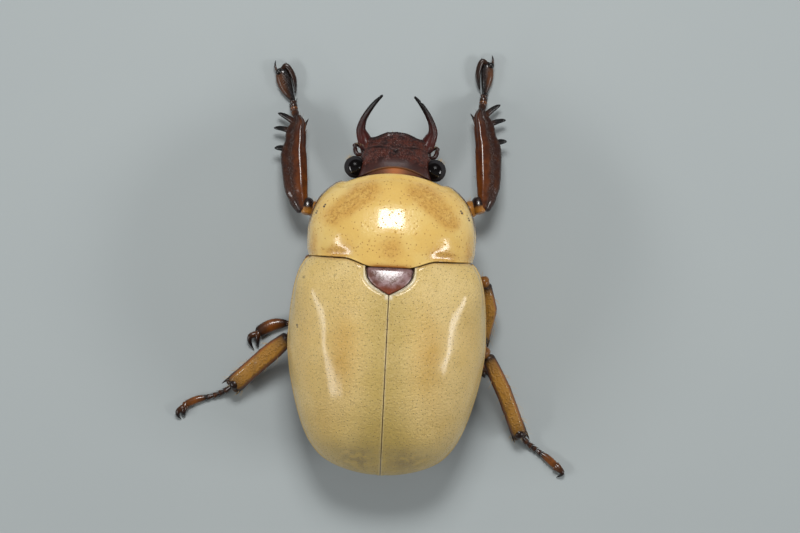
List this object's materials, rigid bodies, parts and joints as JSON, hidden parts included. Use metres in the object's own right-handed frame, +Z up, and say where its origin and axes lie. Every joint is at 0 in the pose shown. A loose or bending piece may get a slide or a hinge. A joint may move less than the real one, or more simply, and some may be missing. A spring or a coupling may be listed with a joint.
{
  "type": "leaf chafer beetle",
  "caption": "Life-size male leaf chafer beetle standing on six feet, pale yellow wing cases closed, long sickle jaws raised.",
  "frame": {"origin": "on the floor, under the middle of the animal's outermost extents, claws included", "axes": "+Z up, -Y the way the head points, +X the beetle's own left side"},
  "size_m": [0.0284, 0.031, 0.0102],
  "materials": {
    "wing_case": "satin straw-yellow chitin with fine dark pits",
    "pronotum": "glossy warm yellow chitin with faint tan clouds",
    "scutellum": "glossy mahogany chitin with a violet sheen",
    "head": "dark red-brown chitin, densely pitted",
    "eye": "glossy black",
    "jaw": "glossy red-brown running to black at the tip",
    "feeler": "satin dark chestnut",
    "under": "satin amber-brown chitin",
    "front_leg": "glossy dark mahogany with black teeth",
    "tan_leg": "satin ochre with dark joints",
    "foot": "satin dark brown, amber on the claw joint"
  },
  "bodies": {
    "root": {"pronotum": "pronotum", "scutellum": "scutellum", "elytron_left": "wing_case", "elytron_right": "wing_case", "thorax": "under", "abdomen": "under", "pygidium": "under", "head": "head", "eye_left": "eye", "eye_right": "eye", "mouthparts": "feeler", "mandible_left": "jaw", "mandible_right": "jaw", "antenna_left": "feeler", "antenna_right": "feeler", "front_left_coxa": "under", "front_left_femur": "tan_leg", "front_left_tibia": "front_leg", "front_left_tarsus": "foot", "front_right_coxa": "under", "front_right_femur": "tan_leg", "front_right_tibia": "front_leg", "front_right_tarsus": "foot", "middle_left_coxa": "under", "middle_left_femur": "tan_leg", "middle_left_tibia": "tan_leg", "middle_left_tarsus": "foot", "middle_right_coxa": "under", "middle_right_femur": "tan_leg", "middle_right_tibia": "tan_leg", "middle_right_tarsus": "foot", "hind_left_coxa": "under", "hind_left_femur": "tan_leg", "hind_left_tibia": "tan_leg", "hind_left_tarsus": "foot", "hind_right_coxa": "under", "hind_right_femur": "tan_leg", "hind_right_tibia": "tan_leg", "hind_right_tarsus": "foot"}
  },
  "joints": []
}
